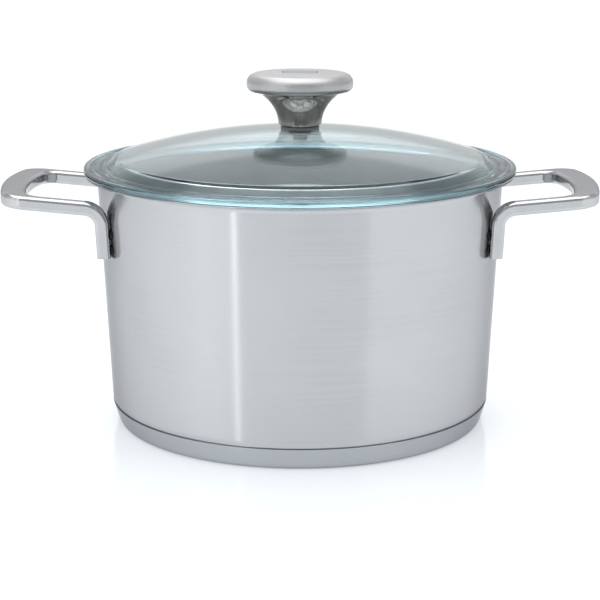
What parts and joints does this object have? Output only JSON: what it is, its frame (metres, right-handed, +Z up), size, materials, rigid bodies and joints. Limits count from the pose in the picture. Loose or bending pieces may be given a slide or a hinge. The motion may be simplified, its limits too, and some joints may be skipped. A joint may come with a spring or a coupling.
{
  "type": "water bath canner",
  "caption": "Steel stockpot canner with capsule base, two loop side handles, domed glass lid with mushroom knob, and a lift-out jar rack with folding wire bails.",
  "frame": {"origin": "centre of the base, on the table", "axes": "+Z up, +X towards the right handle, -Y towards the front"},
  "size_m": [0.3548, 0.2574, 0.2093],
  "materials": {
    "pot_steel": "satin-polished stainless steel, fine marks round the wall",
    "base_steel": "satin stainless steel",
    "core_aluminium": "plain pressed aluminium",
    "handle_steel": "bright-polished stainless steel, satin on the flat of the grip",
    "weld_steel": "dull weld metal",
    "lid_glass": "clear tempered glass, blue-green at the edge",
    "seal_rubber": "matt",
    "knob_dark_metal": "dark polished metal",
    "knob_satin_steel": "fine satin",
    "knob_inlay_steel": "turned satin",
    "insert_brass": "machined",
    "screw_steel": "zinc-bright",
    "rack_steel": "2B mill finish",
    "rivet_steel": "plain",
    "wire_steel": "bright drawn wire"
  },
  "bodies": {
    "pot": {"pot_body": "pot_steel", "base_core": "core_aluminium", "base_cap": "base_steel", "right_handle": "handle_steel", "left_handle": "handle_steel", "right_handle_welds": "weld_steel", "left_handle_welds": "weld_steel"},
    "lid": {"lid_glass": "lid_glass", "knob_gasket": "seal_rubber", "knob_neck": "knob_dark_metal", "knob_cap": "knob_satin_steel", "knob_inlay": "knob_inlay_steel", "knob_insert": "insert_brass", "lower_gasket": "seal_rubber", "knob_washer": "screw_steel", "knob_screw": "screw_steel"},
    "rack": {"rack_plate": "rack_steel", "rack_left_lugs": "rack_steel", "rack_right_lugs": "rack_steel", "rack_rivets": "rivet_steel"},
    "bail_left": {"left_bail": "wire_steel"},
    "bail_right": {"right_bail": "wire_steel"}
  },
  "joints": [
    {"name": "lid_lift", "type": "slide", "parent": "pot", "child": "lid", "axis": [0, 0, 1], "range_m": [0, 0.32]},
    {"name": "rack_lift", "type": "slide", "parent": "pot", "child": "rack", "axis": [0, 0, 1], "range_m": [0, 0.16]},
    {"name": "bail_left_fold", "type": "hinge", "parent": "rack", "child": "bail_left", "pos_m": [-0.07641, 0, 0.024], "axis": [0, -1, 0], "range_deg": [0, 90]},
    {"name": "bail_right_fold", "type": "hinge", "parent": "rack", "child": "bail_right", "pos_m": [0.07641, 0, 0.024], "axis": [0, 1, 0], "range_deg": [0, 90]}
  ],
  "couplings": [
    {"joint": "rack_lift", "follows": "lid_lift", "ratio": 0.5}
  ]
}
